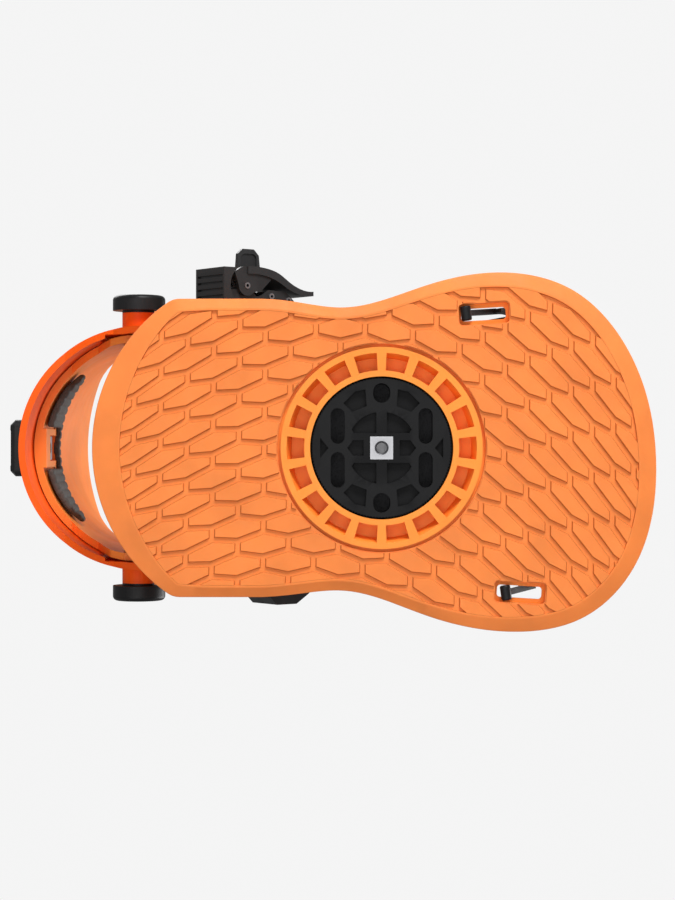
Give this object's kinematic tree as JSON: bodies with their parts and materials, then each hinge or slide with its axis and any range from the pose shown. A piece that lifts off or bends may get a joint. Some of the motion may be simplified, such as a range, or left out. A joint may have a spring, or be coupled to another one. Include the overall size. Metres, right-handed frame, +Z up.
{
  "type": "snowboard strap binding",
  "caption": "Strap binding for a snowboard with a turning mounting disc, folding highback, two ratchet straps and a soft hexagon-tread sole pad.",
  "frame": {"origin": "centre of the mounting disc on the plane of the board", "axes": "+X to the toe, +Y to the medial side of a right foot, +Z up from the board"},
  "size_m": [0.3071, 0.1823, 0.22],
  "materials": {
    "orange_nylon": "moulded glass-filled nylon, satin",
    "orange_hoop": "moulded nylon, satin",
    "orange_highback": "moulded nylon, satin",
    "orange_tread": "moulded soft pad with a hexagon tread",
    "black_disc": "glass-filled nylon",
    "black_nylon": "moulded nylon",
    "black_buckle": "moulded, slight gloss",
    "black_shell": "flexible moulded shell",
    "strap_foam": "covered foam",
    "footbed_foam": "moulded foam",
    "heel_foam": "moulded foam",
    "black_steel": "black oxide",
    "zinc_steel": "zinc plated"
  },
  "bodies": {
    "root": {"baseplate": "orange_nylon", "sole_pad": "orange_tread", "footbed_heel": "footbed_foam", "footbed_middle": "footbed_foam", "footbed_toe": "footbed_foam", "heel_hoop": "orange_hoop", "heelcup_screws": "black_steel", "heelcup_nuts": "black_steel", "pivot_knob_lateral": "black_nylon", "pivot_knob_medial": "black_nylon", "pivot_collars": "black_nylon", "pivot_nuts": "black_steel", "ankle_anchor_bolts": "black_steel", "ankle_anchor_nuts": "black_steel"},
    "disc": {"mounting_disc": "black_disc", "disc_centre_nut": "zinc_steel", "disc_centre_screw": "black_steel"},
    "highback": {"highback_shell": "orange_highback", "highback_heel_pad": "heel_foam"},
    "lean": {"lean_block": "black_nylon", "lean_screw": "black_steel", "lean_nut": "zinc_steel"},
    "ankle_strap": {"ankle_ladder": "black_nylon", "ankle_tongue": "black_nylon", "ankle_tongue_adjuster": "black_nylon", "ankle_strap_shell": "black_shell", "ankle_strap_pad": "strap_foam", "ankle_buckle_frame": "black_buckle", "ankle_main_pin": "zinc_steel", "ankle_guide_pin": "zinc_steel", "ankle_buckle_screws": "zinc_steel", "ankle_release_springs": "zinc_steel"},
    "toe_strap": {"toe_ladder": "black_nylon", "toe_tongue": "black_nylon", "toe_tongue_screws": "zinc_steel", "toe_strap_shell": "black_shell", "toe_strap_pad": "strap_foam", "toe_buckle_frame": "black_buckle", "toe_main_pin": "zinc_steel", "toe_guide_pin": "zinc_steel", "toe_buckle_screws": "zinc_steel", "toe_release_springs": "zinc_steel"},
    "ankle_lever_group": {"ankle_lever": "black_buckle", "ankle_drive_pawl_pin": "zinc_steel", "ankle_drive_spring": "zinc_steel"},
    "ankle_drive_pawl_group": {"ankle_drive_pawl": "zinc_steel"},
    "ankle_release_group": {"ankle_lock_pawl": "zinc_steel", "ankle_release_tab": "black_buckle", "ankle_release_pin": "zinc_steel"},
    "toe_lever_group": {"toe_lever": "black_buckle", "toe_drive_pawl_pin": "zinc_steel", "toe_drive_spring": "zinc_steel"},
    "toe_drive_pawl_group": {"toe_drive_pawl": "zinc_steel"},
    "toe_release_group": {"toe_lock_pawl": "zinc_steel", "toe_release_tab": "black_buckle", "toe_release_pin": "zinc_steel"}
  },
  "joints": [
    {"name": "disc_turn", "type": "hinge", "parent": "root", "child": "disc", "pos_m": [0, 0, 0.011], "axis": [0, 0, 1], "continuous": true},
    {"name": "highback_fold", "type": "hinge", "parent": "root", "child": "highback", "pos_m": [-0.115, 0, 0.05], "axis": [0, 1, 0], "range_deg": [0, 42]},
    {"name": "lean_block_slide", "type": "slide", "parent": "highback", "child": "lean", "axis": [0, 0, 1], "range_m": [0, 0.01]},
    {"name": "ankle_strap_swing", "type": "hinge", "parent": "root", "child": "ankle_strap", "pos_m": [-0.092, 0, 0.046], "axis": [0, -1, 0], "range_deg": [-15, 20]},
    {"name": "ankle_lever_lift", "type": "hinge", "parent": "ankle_strap", "child": "ankle_lever_group", "pos_m": [-0.07072, -0.078, 0.06262], "axis": [0.6157, 0, -0.788], "range_deg": [0, 50]},
    {"name": "ankle_drive_pawl_tip", "type": "hinge", "parent": "ankle_lever_group", "child": "ankle_drive_pawl_group", "pos_m": [-0.07419, -0.0799, 0.05991], "axis": [0.6157, 0, -0.788], "range_deg": [0, 8], "stiffness_Nm_per_rad": 0.02},
    {"name": "ankle_release_press", "type": "hinge", "parent": "ankle_strap", "child": "ankle_release_group", "pos_m": [-0.05835, -0.0736, 0.07229], "axis": [0.6157, 0, -0.788], "range_deg": [0, 20], "stiffness_Nm_per_rad": 0.05},
    {"name": "toe_strap_swing", "type": "hinge", "parent": "root", "child": "toe_strap", "pos_m": [0.0476, 0.00265, 0.0027], "axis": [-0.1411, -0.99, 0], "range_deg": [-4, 8]},
    {"name": "toe_lever_lift", "type": "hinge", "parent": "toe_strap", "child": "toe_lever_group", "pos_m": [0.08175, -0.05749, 0.05684], "axis": [0.7801, -0.1112, -0.6157], "range_deg": [0, 50]},
    {"name": "toe_drive_pawl_tip", "type": "hinge", "parent": "toe_lever_group", "child": "toe_drive_pawl_group", "pos_m": [0.08031, -0.06111, 0.05566], "axis": [0.7801, -0.1112, -0.6157], "range_deg": [0, 8], "stiffness_Nm_per_rad": 0.02},
    {"name": "toe_release_press", "type": "hinge", "parent": "toe_strap", "child": "toe_release_group", "pos_m": [0.0876, -0.04612, 0.06219], "axis": [0.7801, -0.1112, -0.6157], "range_deg": [0, 20], "stiffness_Nm_per_rad": 0.05}
  ]
}
